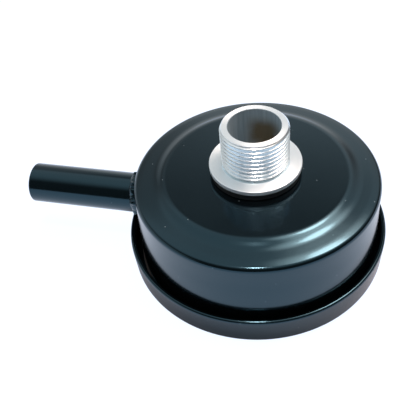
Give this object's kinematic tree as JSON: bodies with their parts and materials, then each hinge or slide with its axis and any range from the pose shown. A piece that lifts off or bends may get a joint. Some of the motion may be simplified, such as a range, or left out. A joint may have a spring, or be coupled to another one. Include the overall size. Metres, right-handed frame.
{
  "type": "compressor air filter",
  "caption": "Round pressed-steel intake filter with a side inlet tube, threaded outlet nipple, pleated paper element and a lid held by a wing nut.",
  "frame": {"origin": "on the outlet nipple's axis at the upper face of its flange, where it seats on the machine", "axes": "+Z along the nipple's axis, out of its open end; the inlet tube points along -X"},
  "size_m": [0.1912, 0.1352, 0.0796],
  "materials": {
    "black_paint": "glossy black enamel",
    "bright_aluminium": "bright turned",
    "zinc_steel": "zinc plated",
    "black_rubber": "matte",
    "filter_paper": "pleated, resin treated"
  },
  "bodies": {
    "housing": {"upper_housing": "black_paint", "inlet_tube": "black_paint", "inlet_weld_bead": "black_paint", "outlet_nipple": "bright_aluminium", "nipple_gasket": "black_rubber", "nipple_inner_washer": "zinc_steel", "nipple_lock_nut": "zinc_steel", "stud_strap": "zinc_steel", "centre_stud": "zinc_steel", "stud_upper_nut": "zinc_steel", "stud_lower_nut": "zinc_steel", "element_top_seal": "black_rubber", "element_top_cap": "zinc_steel", "pleated_paper": "filter_paper", "inner_core": "zinc_steel", "outer_mesh": "zinc_steel", "element_bottom_cap": "zinc_steel", "element_bottom_seal": "black_rubber"},
    "lid_body": {"lid": "black_paint", "lid_gasket": "black_rubber", "lid_sealing_washer": "black_rubber", "lid_washer": "zinc_steel"},
    "nut_body": {"wing_nut": "zinc_steel"}
  },
  "joints": [
    {"name": "lid_drop", "type": "slide", "parent": "housing", "child": "lid_body", "axis": [0, 0, -1], "range_m": [0, 0.008]},
    {"name": "nut_turn", "type": "hinge", "parent": "lid_body", "child": "nut_body", "pos_m": [0, 0, -0.04705], "axis": [0, 0, -1], "range_deg": [0, 2880]}
  ],
  "couplings": [
    {"joint": "nut_turn", "follows": "lid_drop", "rad_per_m": 6283.2}
  ]
}
